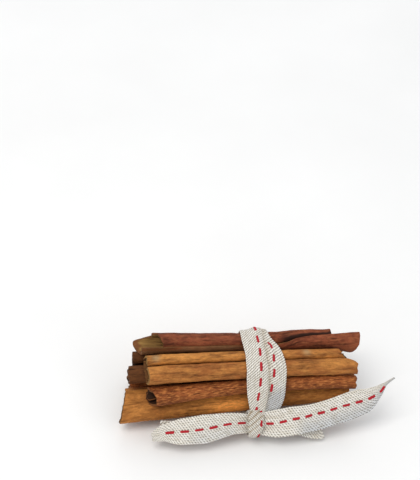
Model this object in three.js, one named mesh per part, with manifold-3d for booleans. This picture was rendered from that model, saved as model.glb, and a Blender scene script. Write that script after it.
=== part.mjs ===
// A bundle of rolled cinnamon bark sticks tied with one ribbon and a bow.
// Millimetres, +Z up, sticks along X, bow toward -Y, standing on z = 0.
import * as THREE from 'three';
import Module from 'manifold-3d';
import { mergeVertices } from 'three/addons/utils/BufferGeometryUtils.js';

const wasm = await Module();
wasm.setup();

// driving dimensions
const barkThick = 1.0;        // thickness of one layer of bark
const layerGap = 0.38;        // air between two layers of a roll
const axisHeight = 14;        // height of the bundle's axis over the floor
const stickStations = 8;      // rings along a stick
const arcStep = 36;           // degrees of a roll between two points
const stationX = [-40, 8, 40];  // left ends, the tie, right ends
const ribbonWide = 10;        // width of the ribbon
const ribbonThick = 0.6;      // thickness of the ribbon
const ribbonClear = 0.5;      // air between ribbon and sticks
const tieLift = 1.55;         // how far the bottom sticks bow up over the ribbon

const deg = Math.PI / 180;
const lerp = (a, b, t) => a + (b - a) * t;
const clamp01 = (t) => Math.min(1, Math.max(0, t));
const smooth = (a, b, t) => {
  const s = clamp01((t - a) / (b - a));
  return s * s * (3 - 2 * s);
};

// smooth uneven line from three sines, different for each seed
function wave(seed, t) {
  return 0.5 * Math.sin(t * 7.1 + seed * 1.7)
    + 0.3 * Math.sin(t * 15.3 + seed * 2.9)
    + 0.2 * Math.sin(t * 31.7 + seed * 4.3);
}

// value at x through three station values, a parabola in Lagrange form
function through(values, x) {
  const [a, b, c] = stationX;
  return values[0] * (x - b) * (x - c) / ((a - b) * (a - c))
    + values[1] * (x - a) * (x - c) / ((b - a) * (b - c))
    + values[2] * (x - a) * (x - b) / ((c - a) * (c - b));
}

const pitch = barkThick + layerGap;

// one roll of a double quill: from the middle of the back around its centre
// outward = +1 or -1 is the side, radius is that of the outermost turn
function rollPath(radius, turns, outward) {
  const half = radius - 0.75 * pitch + barkThick / 2 + layerGap / 2;
  const points = [];
  const count = Math.round(turns * 360 / arcStep);
  for (let i = 0; i <= count; i += 1) {
    const angle = i * arcStep * deg;
    const r = radius - pitch * angle / (2 * Math.PI);
    points.push({
      p: outward * (half + r * Math.sin(angle)),
      q: radius - r * Math.cos(angle),
      np: outward * Math.sin(angle),
      nq: -Math.cos(angle),
    });
  }
  return points;
}

// double quill: both edges of the bark rolled in on the same side
// p runs across the two rolls, q toward the groove between them
function doubleSection(stick) {
  const plus = rollPath(stick.radii[0], stick.turns[0], 1);
  const minus = rollPath(stick.radii[1], stick.turns[1], -1);
  const mid = (stick.radii[0] + stick.radii[1]) / 2;
  const across = (Math.max(...plus.map((a) => a.p)) + Math.min(...minus.map((a) => a.p))) / 2;
  const points = [...minus.reverse(), { p: 0, q: 0, np: 0, nq: -1 }, ...plus];
  return () => points.map((a) => ({ ...a, p: a.p - across, q: a.q - mid }));
}

// single roll: a spiral from its free outer edge inward
function singleSection(stick) {
  const count = Math.round(stick.turns * 360 / arcStep);
  const step = stick.pitch ?? pitch;
  return (x) => {
    const open = stick.openShift ? stick.openShift(x) : 0;
    const points = [];
    for (let i = 0; i <= count; i += 1) {
      const t = i / count;
      const turn = t * stick.turns * 360 + open * (1 - t);
      const r = stick.radius - step * turn / 360
        + (stick.flare ? stick.flare(x, t) : 0);
      const angle = (stick.edgeAngle + stick.wind * turn) * deg;
      // p and q swapped to world Y and Z by a face angle of 90 degrees
      points.push({
        p: r * Math.cos(angle),
        q: r * Math.sin(angle),
        np: Math.cos(angle),
        nq: Math.sin(angle),
      });
    }
    return points;
  };
}

// a stick: the section's strip of bark carried along its centre line
function stickGeometry(stick) {
  const sectionAt = stick.kind === 'double' ? doubleSection(stick) : singleSection(stick);
  const face = (stick.kind === 'double' ? stick.face : 90) * deg;
  const n = sectionAt(0).length;
  const m = stickStations;
  const positions = [];
  for (let j = 0; j < m; j += 1) {
    for (let i = 0; i < n; i += 1) {
      const s = i / (n - 1);
      const left = stick.ends[0] + stick.ragged * wave(stick.seed, s * 2)
        + (stick.leftEdge ? stick.leftEdge(s) : 0);
      const right = stick.ends[1] + stick.ragged * wave(stick.seed + 5, s * 2)
        + (stick.rightEdge ? stick.rightEdge(s) : 0);
      const x = lerp(left, right, j / (m - 1));
      const size = through(stick.scale ?? [1.04, 1, 0.94], x);
      const wobble = 0.12 * wave(stick.seed + 9, x * 0.06);
      const spin = (stick.spin ?? 0) * deg * x / 40;
      const a = sectionAt(x)[i];
      const cosF = Math.cos(face + spin);
      const sinF = Math.sin(face + spin);
      for (const side of [0.5, -0.5]) {
        const p = a.p * size + a.np * barkThick * side;
        const q = a.q * size + a.nq * barkThick * side;
        const y = through(stick.centre.map((c) => c[0]), x) + p * sinF + q * cosF + wobble;
        let z = axisHeight + through(stick.centre.map((c) => c[1]), x) - p * cosF + q * sinF;
        if (stick.bottom) z += tieLift * (1 - smooth(11, 26, Math.abs(x)));
        positions.push(x, y, side > 0 ? Math.max(0, z) : Math.max(0.3, z));
      }
    }
  }
  const at = (j, i, inner) => 2 * (j * n + i) + (inner ? 1 : 0);
  const faces = [];
  const quad = (a, b, c, d) => faces.push(a, b, c, a, c, d);
  for (let j = 0; j < m - 1; j += 1) {
    for (let i = 0; i < n - 1; i += 1) {
      quad(at(j, i), at(j, i + 1), at(j + 1, i + 1), at(j + 1, i));
      quad(at(j, i, 1), at(j + 1, i, 1), at(j + 1, i + 1, 1), at(j, i + 1, 1));
    }
    quad(at(j, 0), at(j + 1, 0), at(j + 1, 0, 1), at(j, 0, 1));
    quad(at(j, n - 1), at(j, n - 1, 1), at(j + 1, n - 1, 1), at(j + 1, n - 1));
  }
  for (let i = 0; i < n - 1; i += 1) {
    quad(at(0, i), at(0, i, 1), at(0, i + 1, 1), at(0, i + 1));
    quad(at(m - 1, i), at(m - 1, i + 1), at(m - 1, i + 1, 1), at(m - 1, i, 1));
  }
  return outward(positions, faces);
}

// geometry from plain lists, turned inside out if its volume is negative
function outward(positions, faces) {
  let volume = 0;
  for (let k = 0; k < faces.length; k += 3) {
    const [a, b, c] = [faces[k], faces[k + 1], faces[k + 2]]
      .map((i) => new THREE.Vector3(...positions.slice(3 * i, 3 * i + 3)));
    volume += a.dot(b.cross(c));
  }
  const index = [...faces];
  if (volume < 0) {
    for (let k = 0; k < index.length; k += 3) {
      [index[k + 1], index[k + 2]] = [index[k + 2], index[k + 1]];
    }
  }
  const geometry = new THREE.BufferGeometry();
  geometry.setAttribute('position', new THREE.Float32BufferAttribute(positions, 3));
  geometry.setIndex(index);
  return geometry;
}

// how far the free edge of the top stick stands open at x, 0 to 1
const opened = (x) => 1 - Math.exp(-Math.max(0, x - 11) / 8);

// the ten sticks; centres are [y, z from the axis] at the three stations
const sticks = [
  {
    name: 'stick_top', kind: 'single', radius: 3.5, turns: 1.5, edgeAngle: 160, wind: 1,
    ends: [-27.6, 31.4], ragged: 0.4, seed: 1, color: 0x7c4630,
    centre: [[6.95, 11.1], [5.3, 9.0], [4.1, 7.65]],
    scale: [1.22, 0.97, 0.93],
    // the outer layer runs on at both ends, past the roll inside it
    leftEdge: (s) => -8.6 * (1 - smooth(0.28, 0.4, s)),
    rightEdge: (s) => 10.2 * (1 - smooth(0.04, 0.5, s)),
    // right of the tie its free edge climbs to the top and stands open
    openShift: (x) => -62 * opened(x),
    flare: (x, t) => 0.9 * opened(x) * (1 - smooth(0, 0.3, t)),
  },
  {
    name: 'stick_front_upper', kind: 'double', radii: [1.9, 3.0], turns: [1.1, 1.2], face: 126,
    ends: [-34.2, 36.3], ragged: 0.7, seed: 2, color: 0xb9783c,
    centre: [[-4.8, 8.75], [-5.0, 8.35], [-5.7, 6.95]],
    rightEdge: (s) => 2.2 * smooth(0.5, 0.1, s) - 1.5 * smooth(0.5, 0.95, s),
  },
  {
    name: 'stick_front_middle', kind: 'single', radius: 3.3, turns: 1.2, edgeAngle: 330, wind: -1, pitch: 1.72,
    ends: [-32.6, 38.6], ragged: 0.6, seed: 3, color: 0x8f4f2c,
    centre: [[-9.0, 1.12], [-8.55, 1.38], [-9.1, 1.45]],
    scale: [1.22, 0.78, 0.7],
  },
  {
    name: 'stick_front_lower', kind: 'double', radii: [2.65, 2.65], turns: [1.1, 1.1], face: 296,
    ends: [-40.6, 34.5], ragged: 0.7, seed: 4, color: 0x9c6532,
    centre: [[-6.95, -6.6], [-6.65, -5.85], [-6.55, -5.05]],
    scale: [1.14, 0.95, 0.9],
  },
  {
    name: 'stick_core_front', kind: 'single', radius: 2.9, turns: 1.6, edgeAngle: 60, wind: 1,
    ends: [-38.4, 34], ragged: 0.5, seed: 5, color: 0x6e3f22,
    centre: [[-1.0, 2.5], [-1.3, 2.3], [-1.4, 1.8]],
  },
  {
    name: 'stick_core_back', kind: 'single', radius: 2.75, turns: 1.6, edgeAngle: 200, wind: 1,
    ends: [-36.2, 31], ragged: 0.5, seed: 6, color: 0x7a4526,
    centre: [[5.6, 3.4], [5.3, 2.3], [4.9, 1.4]],
  },
  {
    name: 'stick_bottom', kind: 'double', radii: [2.5, 2.4], turns: [1.1, 1.1], face: 90,
    ends: [-38.4, 36.8], ragged: 0.6, seed: 7, color: 0x96602f, bottom: true,
    centre: [[-0.4, -11.25], [-0.4, -11.25], [-0.4, -11.35]],
  },
  {
    name: 'stick_bottom_back', kind: 'single', radius: 2.85, turns: 1.5, edgeAngle: 108, wind: 1,
    ends: [-36.4, 38.2], ragged: 0.6, seed: 8, color: 0x8b5129, bottom: true,
    centre: [[8.5, -11.4], [8.1, -11.4], [7.8, -11.55]],
  },
  {
    name: 'stick_core_lower', kind: 'single', radius: 2.9, turns: 1.6, edgeAngle: 20, wind: 1,
    ends: [-37.6, 35.4], ragged: 0.5, seed: 9, color: 0x80502b,
    centre: [[2.8, -4.5], [2.6, -4.4], [2.6, -4.5]],
  },
  {
    name: 'stick_back', kind: 'double', radii: [2.6, 2.5], turns: [1.1, 1.1], face: 2,
    ends: [-34.2, 37.4], ragged: 0.7, seed: 10, color: 0xa0672f,
    centre: [[11.4, -2.2], [10.9, -2.2], [10.4, -2.4]],
  },
];

// convex outline of points in the YZ plane, counter-clockwise
function hull(points) {
  const sorted = [...points].sort((a, b) => a[0] - b[0] || a[1] - b[1]);
  const cross = (o, a, b) => (a[0] - o[0]) * (b[1] - o[1]) - (a[1] - o[1]) * (b[0] - o[0]);
  const chain = (list) => {
    const out = [];
    for (const p of list) {
      while (out.length > 1 && cross(out[out.length - 2], out[out.length - 1], p) <= 0) out.pop();
      out.push(p);
    }
    out.pop();
    return out;
  };
  return [...chain(sorted), ...chain(sorted.reverse())];
}

// distance from a point to the outline along a direction
function reach(outline, centre, direction) {
  let best = 0;
  for (let i = 0; i < outline.length; i += 1) {
    const a = outline[i];
    const b = outline[(i + 1) % outline.length];
    const ex = b[0] - a[0];
    const ez = b[1] - a[1];
    const det = direction[0] * ez - direction[1] * ex;
    if (Math.abs(det) < 1e-9) continue;
    const ax = a[0] - centre[0];
    const az = a[1] - centre[1];
    const t = (ax * ez - az * ex) / det;
    const u = (ax * direction[1] - az * direction[0]) / det;
    if (t > 0 && u >= -1e-6 && u <= 1 + 1e-6) best = Math.max(best, t);
  }
  return best;
}

// the band of ribbon round the sticks: two wraps side by side that meet at the knot
const knotCentre = [2.4, -18.4, 7.9];
const knotSize = [3.0, 2.9, 4.6];       // half sizes along x, out from the bundle, and along it
const bandSteps = 46;
const bandCentre = [0.5, 13];
// its left and right edges; turn 0 is the knot, 0.3 the top, 0.5 the far side
const bandEdges = {
  turn: [0, 0.02, 0.04, 0.06, 0.08, 0.12, 0.16, 0.2, 0.24, 0.28, 0.32, 0.36, 0.4, 0.5, 0.6, 0.75, 0.9, 1],
  left: [1.7, 1.2, 0.8, 0.45, 0.16, 0, 0, 0.1, 0.45, 0.35, 0.1, 0.1, 0.3, 0.3, 0.3, 0.3, 0.9, 1.7],
  right: [9.0, 10.6, 11.9, 12.6, 12.95, 13.2, 13.5, 13.35, 12.95, 11.9, 10.1, 9.2, 9.4, 10.4, 11, 10.8, 10.2, 9.0],
};

// value of one edge at a turn, straight between the listed ones
function edgeAt(values, turn) {
  let i = 0;
  while (i < values.length - 2 && bandEdges.turn[i + 1] < turn) i += 1;
  const from = bandEdges.turn[i];
  return lerp(values[i], values[i + 1], (turn - from) / (bandEdges.turn[i + 1] - from));
}

function bandGeometry(tied) {
  const near = [];
  for (const { geometry } of tied) {
    const p = geometry.getAttribute('position');
    const rings = stickStations;
    const per = p.count / rings;
    for (let i = 0; i < per; i += 1) {
      for (let j = 0; j < rings - 1; j += 1) {
        const a = new THREE.Vector3().fromBufferAttribute(p, j * per + i);
        const b = new THREE.Vector3().fromBufferAttribute(p, (j + 1) * per + i);
        for (const t of [0, 0.25, 0.5, 0.75, 1]) {
          const c = a.clone().lerp(b, t);
          if (c.x > -3 && c.x < 15) near.push([c.y, c.z]);
        }
      }
    }
  }
  // the wraps also reach out to the knot, which stands off the sticks
  near.push([knotCentre[1] + 1.6, knotCentre[2] + 1.4], [knotCentre[1] + 2.2, knotCentre[2] - 2.6]);
  const outline = hull(near);
  const knotAngle = Math.atan2(knotCentre[2] - bandCentre[1], knotCentre[1] - bandCentre[0]);
  const positions = [];
  const across = [0, 1 / 3, 2 / 3, 1];
  for (let i = 0; i < bandSteps; i += 1) {
    const turn = i / bandSteps;
    const angle = knotAngle - turn * 2 * Math.PI;
    const d = [Math.cos(angle), Math.sin(angle)];
    const r = reach(outline, bandCentre, d);
    const left = edgeAt(bandEdges.left, turn);
    const right = edgeAt(bandEdges.right, turn);
    for (const t of across) {
      for (const side of [0, 1]) {
        // the middle, where one wrap lies over the edge of the other, is fuller
        const full = 0.35 * Math.sin(Math.PI * t) * (1 - smooth(0.4, 0.55, turn));
        const rr = r + ribbonClear + side * (ribbonThick + full);
        positions.push(lerp(left, right, t), bandCentre[0] + d[0] * rr, Math.max(0.02, bandCentre[1] + d[1] * rr));
      }
    }
  }
  const at = (i, k, side) => 8 * (i % bandSteps) + 2 * k + side;
  const faces = [];
  const quad = (a, b, c, e) => faces.push(a, b, c, a, c, e);
  for (let i = 0; i < bandSteps; i += 1) {
    for (let k = 0; k < 3; k += 1) {
      quad(at(i, k, 1), at(i + 1, k, 1), at(i + 1, k + 1, 1), at(i, k + 1, 1));
      quad(at(i, k, 0), at(i, k + 1, 0), at(i + 1, k + 1, 0), at(i + 1, k, 0));
    }
    quad(at(i, 0, 0), at(i + 1, 0, 0), at(i + 1, 0, 1), at(i, 0, 1));
    quad(at(i, 3, 0), at(i, 3, 1), at(i + 1, 3, 1), at(i + 1, 3, 0));
  }
  return outward(positions, faces);
}

// a length of ribbon: its middle line, and where its upper edge lies from there
function ribbonGeometry(middle, upper, steps, widths) {
  const line = new THREE.CatmullRomCurve3(middle.map((a) => new THREE.Vector3(...a)), false, 'centripetal');
  const edge = new THREE.CatmullRomCurve3(upper.map((a) => new THREE.Vector3(...a)), false, 'centripetal');
  const positions = [];
  const rows = 3;
  for (let i = 0; i <= steps; i += 1) {
    const u = i / steps;
    const c = line.getPoint(u);
    const along = line.getTangent(u);
    const w = edge.getPoint(u);
    w.addScaledVector(along, -w.dot(along)).normalize();
    const out = new THREE.Vector3().crossVectors(along, w).normalize();
    const wide = ribbonWide / 2 * through01(widths, u);
    for (let k = 0; k <= rows; k += 1) {
      const s = 2 * k / rows - 1;
      for (const side of [-0.5, 0.5]) {
        const p = c.clone().addScaledVector(w, s * wide).addScaledVector(out, side * ribbonThick);
        positions.push(p.x, p.y, p.z);
      }
    }
  }
  const per = 2 * (rows + 1);
  const at = (i, k, side) => per * i + 2 * k + side;
  const faces = [];
  const quad = (a, b, c, e) => faces.push(a, b, c, a, c, e);
  for (let i = 0; i < steps; i += 1) {
    for (let k = 0; k < rows; k += 1) {
      quad(at(i, k, 1), at(i + 1, k, 1), at(i + 1, k + 1, 1), at(i, k + 1, 1));
      quad(at(i, k, 0), at(i, k + 1, 0), at(i + 1, k + 1, 0), at(i + 1, k, 0));
    }
    quad(at(i, 0, 0), at(i + 1, 0, 0), at(i + 1, 0, 1), at(i, 0, 1));
    quad(at(i, rows, 0), at(i, rows, 1), at(i + 1, rows, 1), at(i + 1, rows, 0));
  }
  for (let k = 0; k < rows; k += 1) {
    quad(at(0, k, 0), at(0, k, 1), at(0, k + 1, 1), at(0, k + 1, 0));
    quad(at(steps, k, 0), at(steps, k + 1, 0), at(steps, k + 1, 1), at(steps, k, 1));
  }
  return outward(positions, faces);
}

// value along evenly spaced numbers, u from 0 to 1
function through01(values, u) {
  const t = u * (values.length - 1);
  const i = Math.min(values.length - 2, Math.floor(t));
  return lerp(values[i], values[i + 1], t - i);
}

// the lengths of the bow: middle line, upper edge direction, steps, width along it
const lengths = [
  // left loop, out in front and back behind
  [[[2.4, -18.4, 7.8], [-5.3, -18.65, 8.85], [-14.7, -19.6, 8.45], [-23.3, -19.75, 8.15], [-28.4, -19.4, 7.6],
    [-32.0, -19.4, 5.6], [-29.0, -17.8, 5.35], [-21.0, -16.8, 5.55], [-10.6, -16.4, 6.0], [1.4, -16.8, 6.6]],
  [[-0.1, 0.6, 0.8], [-0.1, 0.7, 0.7], [-0.1, 0.7, 0.7], [-0.1, 0.7, 0.7], [-0.1, 0.66, 0.74],
    [-0.3, 0.5, 0.8], [-0.1, 0.55, 0.82], [0, 0.55, 0.82], [0, 0.55, 0.82], [-0.1, 0.6, 0.8]], 26,
  [0.6, 0.73, 0.97, 0.86, 0.56, 0.24, 0.45, 0.68, 0.66, 0.5]],
  // right loop, mostly behind the tail
  [[[2.5, -18.2, 7.3], [9.7, -18.6, 6.15], [16.6, -18.95, 5.9], [22.4, -19.9, 4.7], [25.6, -19.7, 4.1],
    [22.8, -17.6, 5.2], [16.0, -16.5, 5.8], [8.4, -16.3, 6.1], [3.4, -16.8, 6.6]],
  [[0, 0.6, 0.8], [0, 0.7, 0.7], [0, 0.72, 0.69], [0.1, 0.74, 0.67], [0.3, 0.74, 0.6],
    [0.1, 0.7, 0.7], [0, 0.6, 0.8], [0, 0.6, 0.8], [0, 0.6, 0.8]], 22,
  [0.6, 0.64, 0.64, 0.7, 0.7, 0.62, 0.6, 0.6, 0.5]],
  // right tail, lying over the right loop and curling up to its cut end
  [[[2.4, -18.4, 7.8], [9.4, -19.7, 8.5], [14.6, -19.65, 9.0], [21.8, -19.15, 9.35], [28.1, -18.4, 10.35],
    [35.4, -17.1, 11.8], [40.3, -16.1, 12.9], [44.2, -14.75, 14.8], [47.7, -13.2, 17.2], [51.2, -12.05, 19.15]],
  [[0.2, 0.6, 0.8], [0, 0.7, 0.7], [0, 0.7, 0.7], [0, 0.7, 0.7], [0, 0.7, 0.7],
    [0, 0.7, 0.7], [-0.05, 0.7, 0.7], [-0.3, 0.6, 0.65], [-0.5, 0.55, 0.6], [-0.7, 0.5, 0.5]], 24,
  [0.7, 0.93, 0.96, 0.9, 0.89, 0.92, 0.84, 0.55, 0.2, 0.07]],
  // left tail, behind the left loop
  [[[2.7, -17.4, 6.5], [-7.1, -16.2, 5.4], [-17.4, -16.35, 4.95], [-24.3, -16.35, 5.05], [-29.1, -16.2, 5.5]],
  [[0, 0.6, 0.8], [0, 0.6, 0.8], [0, 0.62, 0.78], [0.1, 0.62, 0.78], [0.15, 0.62, 0.78]], 10,
  [0.45, 0.6, 0.65, 0.62, 0.62]],
];

// the knot: a rounded lump, tight in the middle
function knotGeometry() {
  const geometry = new THREE.SphereGeometry(1, 14, 10);
  const p = geometry.getAttribute('position');
  const across = new THREE.Vector3(0, Math.SQRT1_2, Math.SQRT1_2);
  const out = new THREE.Vector3(0, -Math.SQRT1_2, Math.SQRT1_2);
  for (let i = 0; i < p.count; i += 1) {
    const v = new THREE.Vector3().fromBufferAttribute(p, i);
    const w = new THREE.Vector3(...knotCentre);
    w.x += v.x * knotSize[0];
    w.addScaledVector(out, v.z * knotSize[1]).addScaledVector(across, v.y * knotSize[2]);
    p.setXYZ(i, w.x, w.y, w.z);
  }
  return geometry;
}

function solid(geometry) {
  const bare = geometry.clone();
  for (const name of ['normal', 'uv']) bare.deleteAttribute(name);
  const merged = mergeVertices(bare, 1e-4);
  return new wasm.Manifold(new wasm.Mesh({
    numProp: 3,
    vertProperties: new Float32Array(merged.getAttribute('position').array),
    triVerts: new Uint32Array(merged.getIndex().array),
  }));
}

function back(manifold) {
  const mesh = manifold.getMesh();
  const geometry = new THREE.BufferGeometry();
  geometry.setAttribute('position', new THREE.Float32BufferAttribute(mesh.vertProperties, 3));
  geometry.setIndex(new THREE.Uint32BufferAttribute(mesh.triVerts, 1));
  return geometry;
}

const pieces = sticks.map((stick) => ({
  name: stick.name,
  color: stick.color,
  roughness: 0.8,
  geometry: stickGeometry(stick),
}));

let ribbon = solid(bandGeometry(pieces)).add(solid(knotGeometry()));
for (const [middle, upper, steps, widths] of lengths) {
  ribbon = ribbon.add(solid(ribbonGeometry(middle, upper, steps, widths)));
}
pieces.push({ name: 'ribbon', color: 0xd9d4ca, roughness: 0.9, geometry: back(ribbon) });

// the whole is moved so that its box stands centred on the origin
const box = new THREE.Box3();
for (const piece of pieces) {
  piece.geometry.computeBoundingBox();
  box.union(piece.geometry.boundingBox);
}
const group = new THREE.Group();
group.name = 'cinnamon_bundle';
const inner = new THREE.Group();
inner.position.set(-(box.min.x + box.max.x) / 2, -(box.min.y + box.max.y) / 2, -box.min.z);
group.add(inner);
for (const piece of pieces) {
  piece.geometry.computeVertexNormals();
  const material = new THREE.MeshStandardMaterial({
    color: piece.color,
    roughness: piece.roughness,
    metalness: 0,
    flatShading: true,
  });
  const mesh = new THREE.Mesh(piece.geometry, material);
  mesh.name = piece.name;
  inner.add(mesh);
}

export default group;
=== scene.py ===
# Cinnamon sticks tied with a linen ribbon: bark, ribbon, stitching, light and camera.
# Lengths in the dictionaries are millimetres, in the bundle's own frame; meshes are in metres.
import math
import bpy
import numpy as np
from mathutils import Matrix, Vector


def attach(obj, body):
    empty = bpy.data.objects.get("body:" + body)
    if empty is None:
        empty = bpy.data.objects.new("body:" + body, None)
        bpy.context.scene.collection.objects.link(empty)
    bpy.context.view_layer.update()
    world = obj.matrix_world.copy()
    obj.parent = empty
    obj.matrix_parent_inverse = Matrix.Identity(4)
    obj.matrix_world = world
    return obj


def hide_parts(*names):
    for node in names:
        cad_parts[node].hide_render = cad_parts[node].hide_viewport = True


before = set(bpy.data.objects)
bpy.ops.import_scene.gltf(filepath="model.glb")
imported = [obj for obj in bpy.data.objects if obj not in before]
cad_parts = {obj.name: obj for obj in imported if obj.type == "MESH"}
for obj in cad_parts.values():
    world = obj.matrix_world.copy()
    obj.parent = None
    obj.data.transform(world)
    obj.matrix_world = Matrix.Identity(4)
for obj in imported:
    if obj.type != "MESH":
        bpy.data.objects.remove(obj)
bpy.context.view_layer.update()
print("frame loaded:", len(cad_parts), "nodes")

bundle = {
    "shift": (-5.1124, 4.4282, 0.0),  # from the bundle's axis to the middle of its box
    "axisHeight": 14.0,
    "stationX": (-40.0, 8.0, 40.0),   # left ends, the tie, right ends
    "bark": 1.0,
    "layerGap": 0.38,
    "tieLift": 1.55,                  # the lowest sticks bow up over the ribbon
}
rollPitch = bundle["bark"] + bundle["layerGap"]
sharpAngle = math.radians(50)


def smoothStep(a, b, t):
    s = np.clip((t - a) / (b - a), 0.0, 1.0)
    return s * s * (3.0 - 2.0 * s)


def waveLine(seed, t):
    return (0.5 * np.sin(t * 7.1 + seed * 1.7) + 0.3 * np.sin(t * 15.3 + seed * 2.9)
            + 0.2 * np.sin(t * 31.7 + seed * 4.3))


def alongBundle(values, x):  # a parabola through the three station values
    a, b, c = bundle["stationX"]
    return (values[0] * (x - b) * (x - c) / ((a - b) * (a - c))
            + values[1] * (x - a) * (x - c) / ((b - a) * (b - c))
            + values[2] * (x - a) * (x - b) / ((c - a) * (c - b)))


def softNoise(u, v, seed):  # -1 to 1, one bump for each unit
    size = 64
    table = np.random.RandomState(seed).uniform(-1.0, 1.0, (size, size))
    iu, iv = np.floor(u).astype(int), np.floor(v).astype(int)
    fu, fv = (w * w * (3 - 2 * w) for w in (u - iu, v - iv))
    low, high = (table[iu % size, j % size] * (1 - fu) + table[(iu + 1) % size, j % size] * fu
                 for j in (iv, iv + 1))
    return low * (1 - fv) + high * fv


def layeredNoise(u, v, seed, layers=3):
    total = 0.0
    for i in range(layers):
        total = total + softNoise(u * 2 ** i, v * 2 ** i, seed + i) / 2 ** i
    return total / 1.6


def curveThrough(points, u):  # centripetal curve through points, u from 0 to 1
    pts = [np.array(p, float) for p in points]
    pts = [2 * pts[0] - pts[1]] + pts + [2 * pts[-1] - pts[-2]]
    out = []
    for value in u:
        t = value * (len(points) - 1)
        i = min(int(t), len(points) - 2)
        w = t - i
        p0, p1, p2, p3 = pts[i:i + 4]
        d0, d1, d2 = (max(np.linalg.norm(b - a) ** 0.5, 1e-4) for a, b in ((p0, p1), (p1, p2), (p2, p3)))
        m1 = ((p1 - p0) / d0 - (p2 - p0) / (d0 + d1) + (p2 - p1) / d1) * d1
        m2 = ((p2 - p1) / d1 - (p3 - p1) / (d1 + d2) + (p3 - p2) / d2) * d1
        c2 = -3 * p1 + 3 * p2 - 2 * m1 - m2
        c3 = 2 * p1 - 2 * p2 + m1 + m2
        out.append(p1 + m1 * w + c2 * w * w + c3 * w ** 3)
    return np.array(out)


def unit(vectors):
    return vectors / np.maximum(np.linalg.norm(vectors, axis=-1, keepdims=True), 1e-9)


def addObject(name, data):
    obj = bpy.data.objects.new(name, data)
    bpy.context.scene.collection.objects.link(obj)
    return obj


def placeMesh(name, places, quads, marks):
    mesh = bpy.data.meshes.new(name)
    places, quads = np.concatenate(places), np.concatenate(quads)
    mesh.vertices.add(len(places))
    mesh.vertices.foreach_set("co", ((places + np.array(bundle["shift"])) * 0.001).ravel())
    mesh.loops.add(quads.size)
    mesh.loops.foreach_set("vertex_index", quads.ravel().astype(np.int32))
    mesh.polygons.add(len(quads))
    mesh.polygons.foreach_set("loop_start", np.arange(len(quads), dtype=np.int32) * 4)
    mesh.update(calc_edges=True)
    for mark, values in marks.items():
        values = np.concatenate(values)
        kind = "FLOAT_VECTOR" if values.ndim == 2 else "FLOAT"
        layer = mesh.attributes.new(mark, kind, "POINT")
        layer.data.foreach_set("vector" if values.ndim == 2 else "value", values.ravel())
    mesh.validate()
    mesh.polygons.foreach_set("use_smooth", np.ones(len(mesh.polygons), bool))
    return addObject(name, mesh)


def sheetQuads(rows, cols, start=0, closed=False):
    i = np.arange(rows if closed else rows - 1)[:, None]
    k = np.arange(cols - 1)[None, :]
    j = (i + 1) % rows
    corners = [i * cols + k, i * cols + k + 1, j * cols + k + 1, j * cols + k]
    return np.stack(corners, -1).reshape(-1, 4) + start


def borderLoop(rows, cols):  # indices round the edge of an open grid
    top = list(range(cols))
    right = [i * cols + cols - 1 for i in range(1, rows)]
    low = [(rows - 1) * cols + k for k in range(cols - 2, -1, -1)]
    left = [i * cols for i in range(rows - 2, 0, -1)]
    return np.array(top + right + low + left)


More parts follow.
